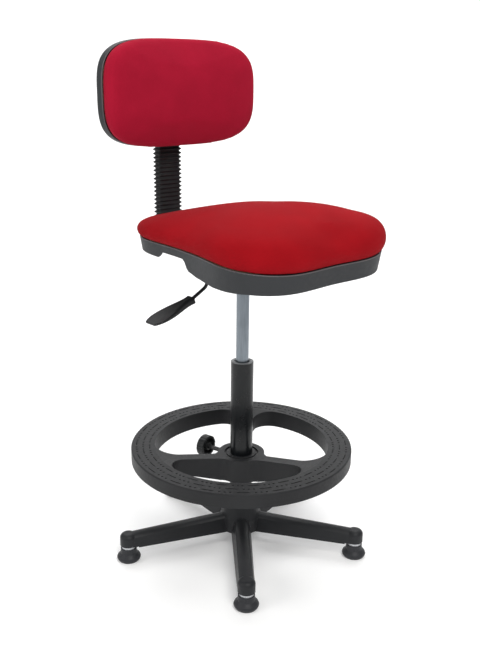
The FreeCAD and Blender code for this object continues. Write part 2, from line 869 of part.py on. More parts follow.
def make_bar_sleeve():
    gap, wall = mm("bar_gap"), mm("bar_sleeve_wall")
    half_width = mm("bar_width") / 2 + gap
    half_height = mm("bar_thickness") / 2 + gap
    height, place_y = mm("bar_height"), mm("depth_knob_place")
    front, rear = mm("bar_sleeve_front"), mm("bar_sleeve_rear")
    plate_bottom = mm("shell_floor") - mm("plate_thickness")
    base = height - half_height - wall
    outer = box(-half_width - wall, half_width + wall, front, rear, base, plate_bottom)
    inner = box(-half_width, half_width, front - 1, rear + 1, height - half_height, height + half_height)
    nut = Part.makeCylinder(10, 8, Vector(0, place_y, base - 8))
    hole = Part.makeCylinder(mm("screw_radius") + mm("running_gap"), 30, Vector(0, place_y, height - 30))
    return add_shape("bar_sleeve", single(outer.fuse(nut).cut([inner, hole]).removeSplitter()))


def make_depth_knob():
    contact = mm("bar_height") - mm("bar_thickness") / 2 - mm("bar_gap")
    stand = mm("depth_knob_stand")
    return make_knob("depth", -UP, Vector(0, mm("depth_knob_place"), contact - stand), stand)


def bent_rod(points, radius, bend):
    """A round rod along straight runs joined by arcs of one bend radius."""
    edges, start = [], points[0]
    for before, corner, after in zip(points, points[1:], points[2:]):
        inward = (before - corner).normalize()
        onward = (after - corner).normalize()
        half_turn = (math.pi - inward.getAngle(onward)) / 2
        if half_turn < 0.01:
            continue
        cut = bend * math.tan(half_turn)
        first, last = corner + inward * cut, corner + onward * cut
        middle = corner + (inward + onward).normalize() * (bend / math.cos(half_turn) - bend)
        edges.append(Part.LineSegment(start, first).toShape())
        edges.append(Part.Arc(first, middle, last).toShape())
        start = last
    edges.append(Part.LineSegment(start, points[-1]).toShape())
    ring = Part.Wire([Part.makeCircle(radius, points[0], points[1] - points[0])])
    return Part.Wire(edges).makePipeShell([ring], True, False)


def make_lever():
    """The release lever: a bent rod that rocks on a cross pin, with a moulded paddle."""
    radius = mm("lever_radius")
    height = mm("cylinder_top") + mm("pin_stand") + radius + mm("lever_play")
    pivot = Vector(-mm("lever_pivot"), 0, height)
    slope = math.radians(mm("paddle_slope"))
    along = Vector(-math.cos(slope), 0, -math.sin(slope))
    root = Vector(-mm("paddle_root_side"), 0, mm("paddle_root_height"))
    knee = Vector(-mm("lever_knee_side"), 0, mm("lever_knee_height"))
    start = Vector(mm("pin_radius") + 3, 0, height)
    points = [start, Vector(-mm("lever_shoulder"), 0, height), knee, root, root + along * mm("lever_tang")]
    rod = bent_rod(points, radius, mm("lever_bend"))
    across = Vector(0, 1, 0)
    eye = cylinder(radius + 2, pivot - across * radius, pivot + across * radius)
    pin_radius = mm("lever_pin_radius")
    hole = cylinder(pin_radius + mm("running_gap"), pivot - across * 20, pivot + across * 20)
    rod = single(rod.fuse(eye).cut(hole).removeSplitter())
    near = radius + mm("lever_gap")
    far = near + mm("ear_thickness")
    pin = cylinder(pin_radius, pivot - across * (far + 1), pivot + across * (far + 1))
    ears = []
    for low, high in ((near, far), (-far, -near)):
        ear = box(pivot.x - 7, pivot.x + 7, low, high, height - 7, mm("shell_floor") - mm("plate_thickness"))
        ears.append(ear.cut(pin))
    return [
        add_shape("release_lever", rod),
        add_shape("lever_bracket", Part.makeCompound(ears)),
        add_shape("lever_pin", pin),
        make_paddle(root, rod),
    ]


def make_paddle(root, rod):
    neck, blade = mm("paddle_neck_width"), mm("paddle_width")
    thick, length = mm("paddle_neck_thickness"), mm("paddle_length")
    stations = [
        (0.0, neck - 3, thick),
        (0.28, neck, thick * 0.93),
        (0.48, neck + 0.62 * (blade - neck), thick * 0.72),
        (0.68, blade, thick * 0.5),
        (0.88, blade - 4, thick * 0.36),
        (1.0, blade * 0.62, thick * 0.28),
    ]
    wires = []
    for share, width, height in stations:
        wire = rounded_rectangle(height, width, height * 0.35, 0)
        wire.Placement = Placement(Vector(0, 0, share * length), Rotation())
        wires.append(wire)
    paddle = Part.makeLoft(wires, True, False)
    place_at = Placement(root, Rotation(Vector(0, 1, 0), -90 - mm("paddle_slope")))
    tang = rod.transformed(place_at.inverse().toMatrix())
    feature = add_shape("lever_paddle", single(paddle.cut(tang)))
    feature.Placement = place_at
    return feature


# ---------------------------------------------------------------- seat


def closed_curve(points):
    curve = Part.BSplineCurve()
    curve.interpolate(Points=points, PeriodicFlag=True)
    return curve


def inset_curve(curve, inset, normal):
    """The closed curve moved inwards in its plane, through points spread evenly along it."""
    first, last = curve.FirstParameter, curve.LastParameter
    samples = 44
    moved = []
    for i in range(samples):
        at = first + (last - first) * i / samples
        tangent = curve.tangent(at)[0]
        moved.append(curve.value(at) + normal.cross(tangent).normalize() * inset)
    return closed_curve(moved)


def seat_outline(inset, height):
    """The seat's plan as a smooth closed wire: narrow at the back, widest and round in front."""
    rear, front = mm("seat_rear"), -mm("seat_front")
    rear_half, waist, wide = mm("seat_rear_half"), mm("seat_waist_half"), mm("seat_front_half")
    side = [
        (0, rear),
        (0.72 * rear_half, rear - 7),
        (rear_half, rear - 48),
        (waist, rear - 150),
        (wide, front + 170),
        (mm("seat_shoulder_half"), front + 60),
        (mm("seat_nose_half"), front + 10),
        (0, front),
    ]
    mirrored = [(-x, y) for x, y in side[-2:0:-1]]
    curve = closed_curve([Vector(x, y, height) for x, y in side + mirrored])
    if inset:
        curve = inset_curve(curve, inset, -UP)
    return Part.Wire(curve.toShape())


def seat_slab(inset, low, high, draft=0):
    return Part.makeLoft([seat_outline(inset + draft, low), seat_outline(inset, high)], True, True)


def along_x(points):
    """A prism across the whole seat from a side view given as (y, z)."""
    half = mm("seat_front_half") + 60
    face = polygon_face([Vector(-half, y, z) for y, z in points])
    return face.extrude(Vector(2 * half, 0, 0))


def droop_curve(lift):
    """The rim in side view: level, then dipping to the nose, as (y, z) points along an arc."""
    start, nose = -mm("droop_start"), -mm("seat_front") - 12
    steps = 8
    points = []
    for i in range(steps + 1):
        y = start + (nose - start) * i / steps
        share = (y - start) / (-mm("seat_front") - start)
        points.append((y, mm("rim_height") + lift - mm("rim_droop") * share * share))
    return points


def above_rim(lift):
    rear = mm("seat_rear") + 40
    nose = -mm("seat_front") - 12
    top = mm("rim_height") + 200
    rim = [(rear, mm("rim_height") + lift)] + droop_curve(lift)
    return along_x(rim + [(nose, top), (rear, top)])


def below_rim():
    """All that lies under the rim and over the skirt's lower edge, in side view."""
    rear, nose = mm("seat_rear") + 12, -mm("seat_front") - 12
    roof, lobe, deep = mm("shell_floor"), mm("lobe_bottom"), mm("skirt_bottom")
    front_edge, rear_edge = mm("notch_front"), mm("notch_rear")
    lower = [
        (nose, mm("skirt_nose")),
        (-mm("seat_front") + 50, deep + 1),
        (-120, deep),
        (-60, deep + 5),
        (front_edge - 10, deep + 11),
        (front_edge - 5, deep + 16),
        (front_edge, roof - 5),
        (front_edge + 6, roof),
        (rear_edge - 5, roof),
        (rear_edge, roof - 5),
        (rear_edge + 4, lobe + 5),
        (rear_edge + 12, lobe),
        (rear - 22, lobe + 1),
        (rear, lobe + 8),
    ]
    rim = [(rear, mm("rim_height"))] + droop_curve(0)
    return along_x(lower + rim)


def under_crown():
    """All that lies under the cushion's top in side view: low at the back, highest ahead of the middle."""
    rear, front, height = mm("seat_rear"), -mm("seat_front"), mm("cushion_height")
    level = mm("rim_height")
    shares = [
        (rear + 20, 0.40),
        (rear - 20, 0.58),
        (rear - 90, 0.80),
        (rear - 180, 0.96),
        (-60, 1.0),
        (front + 110, 0.98),
        (front + 50, 0.84),
        (front + 12, 0.60),
        (front - 20, 0.30),
    ]
    top = [(y, level + share * height) for y, share in shares]
    return along_x(top + [(front - 20, level - 60), (rear + 20, level - 60)])


def make_seat():
    wall, floor = mm("shell_wall"), mm("shell_floor")
    rim, draft = mm("rim_height"), mm("shell_draft")
    low = mm("skirt_bottom") - 6
    span = rim - low
    outer = seat_slab(0, low, rim, draft)
    tray_draft = draft * (rim - floor - wall) / span
    tray = seat_slab(wall, floor + wall, rim + 4, tray_draft)
    under = seat_slab(wall + draft * (rim - floor) / span, low - 1, floor, draft * (floor - low + 1) / span)
    shell = outer.cut([tray, under]).common(below_rim())
    window = mm("rear_window") / 2
    rear = mm("seat_rear")
    shell = shell.cut(box(-window, window, rear - 60, rear + 20, low - 5, floor))
    holes = bolt_holes(floor - 20, 40)
    shell = single(shell.cut(holes).removeSplitter())
    board_bottom = floor + wall
    board_top = board_bottom + mm("board_thickness")
    inset = mm("board_inset")
    board = seat_slab(inset, board_bottom, board_top).cut(holes).common(below_rim())
    height, bulge = mm("cushion_height"), mm("cushion_bulge")
    sections = [
        seat_outline(2, rim - mm("rim_droop") - 3),
        seat_outline(1 - 0.5 * bulge, rim + 0.1 * height),
        seat_outline(-bulge, rim + 0.3 * height),
        seat_outline(-0.5 * bulge, rim + 0.52 * height),
        seat_outline(2.4 * bulge, rim + 0.82 * height),
        seat_outline(6 * bulge, rim + height),
    ]
    foam = Part.makeLoft(sections, True, False).common(above_rim(0))
    plug = seat_slab(inset + 2, board_top, rim + 10)
    foam = single(foam.fuse(plug).common(under_crown()).removeSplitter())
    return [add_shape("seat_shell", shell), add_shape("seat_board", board), add_shape("seat_cushion", foam)]


def make_seat_bolts():
    plate_bottom = mm("shell_floor") - mm("plate_thickness")
    top = mm("shell_floor") + mm("shell_wall") + mm("board_thickness")
    bolts = []
    for x, y in bolt_places():
        shank = Part.makeCylinder(mm("bolt_radius"), top - plate_bottom, Vector(x, y, plate_bottom))
        head_foot = Vector(x, y, plate_bottom - mm("bolt_head"))
        head = Part.makeCylinder(mm("bolt_head_radius"), mm("bolt_head"), head_foot)
        rims = [e for e in head.Edges if e.Closed]
        head = head.makeChamfer(1, [min(rims, key=lambda e: e.CenterOfMass.z)])
        bolts.append(single(shank.fuse(head).removeSplitter()))
    return add_shape("seat_bolts", Part.makeCompound(bolts))


# ---------------------------------------------------------------- backrest


def back_outline(grow, y):
    """The backrest's front view: a rounded, nearly rectangular closed wire."""
    half_width, half_height = mm("back_width") / 2 + grow, mm("back_height") / 2 + grow
    power = 2 / mm("back_square")
    samples = 32
    points = []
    for i in range(samples):
        turn = 2 * math.pi * i / samples
        c, s = math.cos(turn), math.sin(turn)
        x = math.copysign(abs(c) ** power, c) * half_width
        z = math.copysign(abs(s) ** power, s) * half_height
        points.append(Vector(x, y, mm("back_centre") + z))
    return Part.Wire(closed_curve(points).toShape())


def back_prism(grow, low_y, high_y):
    return Part.Face(back_outline(grow, low_y)).extrude(Vector(0, high_y - low_y, 0))


def bowed(low, high):
    """Everything between two upright curved surfaces, given by their places behind the rim."""
    radius, rim = mm("back_bow_radius"), mm("back_rim")
    centre = Vector(0, rim - radius, mm("back_centre") - 300)
    return Part.makeCylinder(radius + high, 600, centre).cut(Part.makeCylinder(radius + low, 600, centre))


def back_slab(grow, low, high):
    rim = mm("back_rim")
    return back_prism(grow, rim - 150, rim + 80).common(bowed(low, high))


def rear_edges(solid, behind):
    """The rim edges of a curved slab that lie on its face nearest to a distance behind the rim."""
    radius, rim = mm("back_bow_radius"), mm("back_rim")
    chosen = []
    for edge in solid.Edges:
        middle = edge.valueAt((edge.FirstParameter + edge.LastParameter) / 2)
        distance = math.hypot(middle.x, middle.y - rim + radius) - radius
        if abs(distance - behind) < 0.05:
            chosen.append(edge)
    return chosen


def make_back():
    rim, wall = mm("back_rim"), mm("shell_wall")
    depth, lip = mm("back_shell_depth"), mm("back_shell_lip")
    outer = back_slab(0, -lip, depth)
    outer = outer.makeFillet(12, rear_edges(outer, depth))
    inner = back_slab(-wall, -lip - 1, depth - wall)
    inner = inner.makeFillet(9, rear_edges(inner, depth - wall))
    pod_half, pod_top = mm("back_pod_width") / 2, mm("back_pod_top")
    pod_back = rim + depth + mm("back_pod_depth")
    pod_bottom = mm("back_centre") - mm("back_height") / 2 + 4
    pod = box(-pod_half, pod_half, rim + depth - wall - 2, pod_back, pod_bottom, pod_top)
    pod = round_pod(pod, pod_back, pod_bottom, 12)
    room = box(-pod_half + wall, pod_half - wall, rim + 3, pod_back - wall, pod_bottom - 60, pod_top - wall)
    room = round_pod(room, pod_back - wall, pod_bottom - 60, 9)
    at_knob = Vector(0, rim, mm("height_knob_place"))
    knob_hole = cylinder(mm("screw_radius") + 2, at_knob, at_knob + Vector(0, 120, 0))
    shell = single(outer.fuse(pod).cut(inner).cut(room).cut(knob_hole))
    board_front = mm("back_board_front")
    board_rear = board_front + mm("back_board_thickness")
    board = back_slab(-mm("back_board_inset"), board_front, board_rear)
    cushion = back_slab(mm("back_cushion_grow"), -mm("back_cushion_depth"), -lip)
    cushion = cushion.makeFillet(17, rear_edges(cushion, -mm("back_cushion_depth")))
    plug = back_slab(-mm("back_board_inset"), -lip - 2, board_front)
    cushion = single(cushion.fuse(plug).removeSplitter())
    return [
        add_shape("back_shell", shell),
        add_shape("back_board", board),
        add_shape("back_cushion", cushion),
    ]


def round_pod(pod, back, bottom, radius):
    """Rounds the pod's back and top edges, and leaves its open end square."""
    chosen = []
    for edge in pod.Edges:
        middle = edge.CenterOfMass
        if middle.z > bottom + 0.01 and middle.y > back - 0.01:
            chosen.append(edge)
    return pod.makeFillet(radius, chosen)


def make_back_bracket():
    gap, wall = mm("bar_gap"), mm("bar_sleeve_wall")
    back, low = mm("bar_back"), mm("bracket_bottom")
    high = low + mm("bracket_height")
    half_width = mm("bar_width") / 2 + gap
    half_depth = mm("bar_thickness") / 2 + gap
    front, rear = back - half_depth, back + half_depth
    sleeve = box(-half_width - wall, half_width + wall, front - wall, rear + wall, low, high)
    inner = box(-half_width, half_width, front, rear, low - 1, high + 1)
    board_rear = mm("back_rim") + mm("back_board_front") + mm("back_board_thickness")
    plate_half = mm("bracket_plate_width") / 2
    lip = mm("bracket_lip")
    plate = box(-plate_half, plate_half, board_rear, board_rear + 3, low - lip, high + lip)
    web = box(-half_width, half_width, board_rear, front - 1, low, high)
    at_knob = Vector(0, rear, mm("height_knob_place"))
    nut = cylinder(10, at_knob, at_knob + Vector(0, wall + 6, 0))
    hole_radius = mm("screw_radius") + mm("running_gap")
    hole = cylinder(hole_radius, at_knob - Vector(0, 1, 0), at_knob + Vector(0, 60, 0))
    screw_holes, screws = [], []
    for x in (-1, 1):
        for z in (low + 8, high - 8):
            at = Vector(x * (plate_half - 7), board_rear, z)
            shank = cylinder(2, at - Vector(0, 6, 0), at + Vector(0, 3, 0))
            head = cylinder(4, at + Vector(0, 3, 0), at + Vector(0, 5, 0))
            screw_holes.append(shank)
            screws.append(single(shank.fuse(head).removeSplitter()))
    bracket = plate.multiFuse([web, sleeve, nut]).cut([inner, hole] + screw_holes)
    board = doc.getObject("back_board")
    board.Shape = board.Shape.cut(screw_holes)
    return [
        add_shape("back_bracket", single(bracket.removeSplitter())),
        add_shape("back_screws", Part.makeCompound(screws)),
    ]


def make_height_knob():
    contact = mm("bar_back") + mm("bar_thickness") / 2 + mm("bar_gap")
    pod_back = mm("back_rim") + mm("back_shell_depth") + mm("back_pod_depth")
    start = Vector(0, pod_back + 2, mm("height_knob_place"))
    return make_knob("height", Vector(0, 1, 0), start, start.y - contact)


def make_bellows():
    """A pleated sleeve round the upright bar."""
    width, depth, fold = mm("bellows_width"), mm("bellows_depth"), mm("bellows_fold_depth")
    corner, count = mm("bellows_corner"), int(mm("bellows_folds"))
    bottom = mm("bar_height") + mm("bar_bend") + mm("bellows_end_gap")
    top = mm("bracket_bottom") - mm("bracket_lip") - 6 * mm("bellows_end_gap")
    pitch = (top - bottom) / count
    wires = []
    for i in range(2 * count + 1):
        pull = fold if i % 2 == 0 else 0
        height = bottom + pitch * i / 2
        wires.append(rounded_rectangle(width - 2 * pull, depth - 2 * pull, corner - pull / 2, height))
    sleeve = Part.makeLoft(wires, True, True)
    wall = mm("bellows_wall")
    half_width, half_depth = width / 2 - fold - wall, depth / 2 - fold - wall
    room = box(-half_width, half_width, -half_depth, half_depth, bottom - 1, top + 1)
    feature = add_shape("bellows", single(sleeve.cut(room)))
    feature.Placement = Placement(Vector(0, mm("bar_back"), 0), Rotation())
    return feature


# ---------------------------------------------------------------- build, check and write


def flat_list(items):
    flat = []
    for item in items:
        flat.extend(flat_list(item) if isinstance(item, list) else [item])
    return flat


nodes = flat_list(
    [
        make_star_base(),
        make_glides(),
        make_column(),
        make_bearing(),
        make_gas_spring(),
        make_foot_ring(),
        make_ring_bush(),
        make_ring_knob(),
        make_mechanism(),
        make_bar(),
        make_bar_sleeve(),
        make_depth_knob(),
        make_lever(),
        make_seat(),
        make_seat_bolts(),
        make_back(),
        make_back_bracket(),
        make_height_knob(),
        make_bellows(),
    ]
)
doc.recompute()

for obj in doc.Objects:
    faults = [state for state in obj.State if state in ("Invalid", "Error")]
    if faults:
        raise RuntimeError(f"{obj.Label} failed: {faults}")

os.makedirs("parts", exist_ok=True)
for node in nodes:
    shape = node.Shape
    if shape.isNull() or not shape.isValid() or shape.Volume < 1:
        raise RuntimeError(f"{node.Label} has no sound solid")
    shape.exportStep(os.path.join("parts", f"{node.Label}.step"))
    print(f"{node.Label}: {len(shape.Solids)} solid(s), {shape.Volume / 1000:.1f} cm3")
print(f"{len(nodes)} nodes")
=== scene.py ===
"""Looks for the drafting chair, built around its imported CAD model. Metres, +Z up, the sitter faces -Y."""

import json
import math

import bpy
from mathutils import Matrix, Vector


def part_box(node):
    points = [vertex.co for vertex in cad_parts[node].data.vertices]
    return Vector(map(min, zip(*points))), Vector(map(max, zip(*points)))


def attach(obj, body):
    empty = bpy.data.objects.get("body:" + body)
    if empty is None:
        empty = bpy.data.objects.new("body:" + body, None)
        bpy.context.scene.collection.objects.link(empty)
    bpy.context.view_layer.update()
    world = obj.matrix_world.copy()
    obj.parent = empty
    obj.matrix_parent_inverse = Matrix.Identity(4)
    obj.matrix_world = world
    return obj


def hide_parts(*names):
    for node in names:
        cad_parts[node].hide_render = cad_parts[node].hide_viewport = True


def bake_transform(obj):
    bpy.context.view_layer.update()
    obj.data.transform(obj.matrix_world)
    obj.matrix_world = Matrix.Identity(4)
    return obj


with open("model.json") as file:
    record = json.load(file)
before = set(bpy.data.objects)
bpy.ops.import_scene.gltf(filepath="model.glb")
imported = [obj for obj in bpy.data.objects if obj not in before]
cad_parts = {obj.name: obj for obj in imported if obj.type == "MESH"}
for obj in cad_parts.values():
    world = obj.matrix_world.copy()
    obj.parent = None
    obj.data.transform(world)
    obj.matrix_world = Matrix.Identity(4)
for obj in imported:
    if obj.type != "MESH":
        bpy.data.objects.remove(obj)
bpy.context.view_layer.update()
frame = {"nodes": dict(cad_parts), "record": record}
scene = bpy.context.scene
seat_low, seat_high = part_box("seat_shell")
back_low, back_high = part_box("back_shell")

# view of the photograph
VIEW_TURN = math.radians(-43)
VIEW_PITCH = math.radians(18.41)
VIEW_ROLL = math.radians(0.587)
VIEW_PLACE = (-0.0053, -1.719, 1.0486)
VIEW_LENS = 46.48
VIEW_SHIFT = 0.03125

# seat
SEAT_MIDDLE = -0.045
DROOP_START = 0.082
DROOP = 0.016
CUSHION_EDGE = (
    (0.0045, -0.0015),
    (0.0010, 0.0015),
    (-0.0045, 0.0060),
    (-0.0080, 0.0130),
    (-0.0080, 0.0210),
    (-0.0045, 0.0290),
    (0.0035, 0.0360),
    (0.0160, 0.0415),
    (0.0330, 0.0450),
    (0.0500, 0.0475),
)
CUSHION_CROWN = 0.020
SWELL_FRONT = 1.50
SWELL_REAR = 0.76
SEAT_STEPS = 180
SEAT_CROWN_SCALES = (0.86, 0.72, 0.56, 0.40, 0.24, 0.10)
SEAT_CAP = 0.006
SEAT_VOXEL = 0.0055
SEAT_BEAD_RADIUS = 0.0013
SEAT_BEAD_INSET = 0.0012
SEAT_BEAD_DROP = 0.0003
SHELL_SLOPE = 0.164
PROBE_DEPTH = 0.008
PROBE_SPAN = 0.21
PROBE_START = 0.6

# cloth of both cushions
CLOTH_PRESSURE = 1.6
CLOTH_STIFFNESS = 22
CLOTH_BENDING = 8
CLOTH_FRAMES = 20
RELAX_ROUNDS = 14
HELD_BAND = 0.008
RIM_CLEARANCE = 0.0004

# backrest
BACK_SQUARE = 3.6
BACK_BOW = 1.3
BACK_EDGE = (
    (0.0060, -0.0015),
    (0.0025, 0.0020),
    (-0.0005, 0.0080),
    (-0.0010, 0.0160),
    (0.0010, 0.0240),
    (0.0065, 0.0310),
    (0.0180, 0.0365),
    (0.0310, 0.0400),
    (0.0480, 0.0420),
)
BACK_CROWN = 0.0045
BACK_CROWN_SCALES = (0.84, 0.66, 0.48, 0.30, 0.12)
BACK_CAP = 0.005
BACK_VOXEL = 0.0048
BACK_BEAD_RADIUS = 0.0014
SHELL_LIP = 0.005

# foot ring tread
TREAD_ROWS = (0.2055, 0.2200, 0.2345)
TREAD_PERIOD = math.radians(18)
TREAD_DASH = math.radians(7.4)
TREAD_DOT_STEP = math.radians(2.7)
TREAD_WIDTH = 0.0034
TREAD_DOT = 0.0027
TREAD_HEIGHT = 0.0005

# bellows
FOLDS = 21
FOLD_STEPS = 10
FOLD_DEPTH = 0.0042
BELLOWS_CORNER = 0.0045
BELLOWS_WALL = 0.0012
BELLOWS_INNER_CORNER = 0.002

# studio
SWEEP_START = 2.2
SWEEP_RADIUS = 1.6
SWEEP_STEPS = 12


# ---------------------------------------------------------------- small helpers


def mesh_object(name, points, faces, smooth=True):
    mesh = bpy.data.meshes.new(name)
    mesh.from_pydata([tuple(p) for p in points], [], faces)
    mesh.validate()
    mesh.polygons.foreach_set("use_smooth", [smooth] * len(mesh.polygons))
    made = bpy.data.objects.new(name, mesh)
    scene.collection.objects.link(made)
    return made


def strips(rows, closed_rows=False):
    """Quads between neighbouring closed loops of points; closed_rows joins the last loop to the first."""
    count, size = len(rows), len(rows[0])
    faces = []
    for i in range(count if closed_rows else count - 1):
        after = (i + 1) % count
        for j in range(size):
            k = (j + 1) % size
            faces.append((i * size + j, i * size + k, after * size + k, after * size + j))
    return faces


def joined(rows):
    """The points of all rows in one list."""
    return [p for row in rows for p in row]


def settle(made, evaluated_mesh):
    """Gives an object a finished mesh in place of its modifiers."""
    made.modifiers.clear()
    old = made.data
    made.data = evaluated_mesh
    bpy.data.meshes.remove(old)


def finished(made):
    graph = bpy.context.evaluated_depsgraph_get()
    return bpy.data.meshes.new_from_object(made.evaluated_get(graph))


def smooth_faces(mesh):
    mesh.polygons.foreach_set("use_smooth", [True] * len(mesh.polygons))


# ---------------------------------------------------------------- materials


class Look:
    """One material and a short way to add nodes to it."""

    def __init__(self, name):
        self.material = bpy.data.materials.new(name)
        self.material.use_nodes = True
        self.tree = self.material.node_tree
        self.shader = self.tree.nodes["Principled BSDF"]
        self.place = self.add("ShaderNodeTexCoord").outputs["Object"]

    def add(self, kind, inputs=None, **settings):
        node = self.tree.nodes.new(kind)
        for key, value in settings.items():
            setattr(node, key, value)
        for socket, value in (inputs or {}).items():
            self.put(node.inputs[socket], value)
        return node

    def put(self, socket, value):
        if isinstance(value, bpy.types.NodeSocket):
            self.tree.links.new(value, socket)
        else:
            socket.default_value = value

    def set(self, **values):
        for key, value in values.items():
            self.put(self.shader.inputs[key.replace("_", " ")], value)

    def stretched(self, stretch):
        return self.add("ShaderNodeMapping", {"Vector": self.place, "Scale": stretch}).outputs[0]

    def noise(self, scale, detail=3.0, stretch=(1, 1, 1)):
        inputs = {"Vector": self.stretched(stretch), "Scale": scale, "Detail": detail}
        return self.add("ShaderNodeTexNoise", inputs).outputs["Fac"]

    def cells(self, scale):
        return self.add("ShaderNodeTexVoronoi", {"Vector": self.place, "Scale": scale}).outputs["Distance"]

    def threads(self, scale, direction):
        """Fine ribs across one direction, a little uneven."""
        inputs = {"Vector": self.place, "Scale": scale, "Distortion": 1.2, "Detail": 2.0, "Detail Scale": 2.0}
        return self.add("ShaderNodeTexWave", inputs, bands_direction=direction).outputs["Fac"]

    def between(self, fac, low, high, start=0.0, end=1.0):
        """Maps a factor to a range of numbers."""
        inputs = {"Value": fac, "From Min": start, "From Max": end, "To Min": low, "To Max": high}
        return self.add("ShaderNodeMapRange", inputs).outputs[0]

    def ramp(self, fac, *stops):
        node = self.add("ShaderNodeValToRGB", {"Fac": fac})
        elements = node.color_ramp.elements
        while len(elements) < len(stops):
            elements.new(0.5)
        for element, (position, colour) in zip(elements, stops):
            element.position = position
            element.color = (*colour, 1)
        return node.outputs["Color"]

    def mix(self, fac, first, second):
        node = self.add("ShaderNodeMix", data_type="RGBA")
        for socket, value in ((node.inputs["Factor"], fac), (node.inputs[6], first), (node.inputs[7], second)):
            self.put(socket, value if isinstance(value, (float, bpy.types.NodeSocket)) else (*value, 1))
        return node.outputs[2]

    def maths(self, operation, first, second):
        return self.add("ShaderNodeMath", {0: first, 1: second}, operation=operation).outputs[0]

    def rounded(self, radius):
        return self.add("ShaderNodeBevel", {"Radius": radius}, samples=6).outputs[0]

    def edges(self, radius):
        """About 1 along sharp edges and 0 elsewhere."""
        normal = self.add("ShaderNodeNewGeometry").outputs["Normal"]
        node = self.add("ShaderNodeVectorMath", {0: self.rounded(radius), 1: normal}, operation="DOT_PRODUCT")
        return self.between(node.outputs["Value"], 1.0, 0.0, 0.84, 0.995)

    def bump(self, height, distance, strength=1.0, under=None):
        inputs = {"Height": height, "Distance": distance, "Strength": strength}
        if under is not None:
            inputs["Normal"] = under
        return self.add("ShaderNodeBump", inputs).outputs[0]


def shade(colour, factor):
    return tuple(min(1.0, c * factor) for c in colour)


def fabric(name, colour, across, along):
    """Close crepe weave over foam: crossing threads, slubs, a little pilling, soft sheen and painted shade in the
    crepe's pits.
    """
    look = Look(name)
    weave = look.maths("MULTIPLY", look.threads(620, across), look.threads(620, along))
    crepe = look.cells(900)
    slubs = look.noise(260, 4.0, (1, 3, 1))
    mottle = look.noise(14, 3.0)
    base = look.ramp(mottle, (0.3, shade(colour, 0.90)), (0.55, colour), (0.8, shade(colour, 1.12)))
    base = look.mix(look.between(slubs, 0.0, 0.22, 0.45, 0.8), base, shade(colour, 1.35))
    # Darker where the crepe's bump sinks into its pits: painted shade.
    base = look.mix(look.between(crepe, 0.30, 0.0, 0.0, 0.5), base, shade(colour, 0.55))
    normal = look.bump(weave, 0.00025, 0.55)
    normal = look.bump(crepe, 0.00022, 0.5, normal)
    normal = look.bump(look.noise(55, 2.0), 0.0006, 0.25, normal)
    look.set(Base_Color=base, Roughness=look.between(slubs, 0.78, 0.92), Normal=normal)
    look.set(Sheen_Weight=0.03, Sheen_Roughness=0.5, Sheen_Tint=(1.0, 0.2, 0.25, 1.0), Specular_IOR_Level=0.05)
    return look.material


def plastic(name, colour, rough, grain=0.5, edge=0.9, wear=1.7):
    """Moulded plastic: spark-eroded grain, faint flow marks, scuffs and lighter, rubbed edges."""
    look = Look(name)
    grit = look.noise(1500, 2.0)
    flow = look.noise(9, 4.0, (1, 1, 0.4))
    scuffs = look.noise(120, 6.0, (1, 6, 1))
    base = look.ramp(flow, (0.3, shade(colour, 0.86)), (0.6, colour), (0.85, shade(colour, 1.2)))
    base = look.mix(look.between(scuffs, 0.0, 0.25, 0.62, 0.8), base, shade(colour, 1.7))
    rub = look.maths("MULTIPLY", look.edges(0.0014), look.between(look.noise(60, 4.0), 0.15, edge))
    base = look.mix(rub, base, shade(colour, wear))
    rough_map = look.between(scuffs, rough - 0.05, rough + 0.13, 0.3, 0.75)
    normal = look.bump(grit, 0.00012, grain, look.rounded(0.0009))
    look.set(Base_Color=base, Roughness=rough_map, Normal=normal, Specular_IOR_Level=0.2)
    return look.material


def paint(name, colour, rough, coat):
    """Powder-coated steel: orange peel, fine dust and rubbed edges."""
    look = Look(name)
    peel = look.noise(420, 2.0)
    dust = look.noise(40, 5.0)
    base = look.ramp(dust, (0.35, colour), (0.8, shade(colour, 1.5)))
    rub = look.maths("MULTIPLY", look.edges(0.0012), look.between(look.noise(90, 4.0), 0.0, 0.8, 0.35, 0.7))
    base = look.mix(rub, base, (0.16, 0.16, 0.165))
    normal = look.bump(peel, 0.00012, 0.4, look.rounded(0.0007))
    look.set(Base_Color=base, Roughness=look.between(dust, rough, rough + 0.14), Normal=normal)
    look.set(Coat_Weight=coat, Coat_Roughness=0.14, Specular_IOR_Level=0.3)
    return look.material


def steel(name, colour, rough, stretch=(1, 1, 0.03)):
    """Bare steel: drawn or turned lines, faint handling marks."""
    look = Look(name)
    lines = look.noise(900, 3.0, stretch)
    marks = look.noise(30, 5.0)
    base = look.ramp(lines, (0.3, shade(colour, 0.82)), (0.7, shade(colour, 1.1)))
    base = look.mix(look.between(marks, 0.0, 0.35, 0.5, 0.85), base, shade(colour, 0.6))
    normal = look.bump(lines, 0.00006, 0.4, look.rounded(0.0005))
    look.set(Base_Color=base, Roughness=look.between(marks, rough, rough + 0.15), Normal=normal, Metallic=1.0)
    return look.material


def rubber(name, colour):
    look = Look(name)
    bloom = look.noise(55, 5.0)
    fine = look.noise(1300, 2.0)
    base = look.ramp(bloom, (0.35, colour), (0.62, shade(colour, 1.3)), (0.85, shade(colour, 2.0)))
    normal = look.bump(fine, 0.0001, 0.4)
    look.set(Base_Color=base, Roughness=look.between(bloom, 0.42, 0.62), Normal=normal, Specular_IOR_Level=0.25)
    return look.material


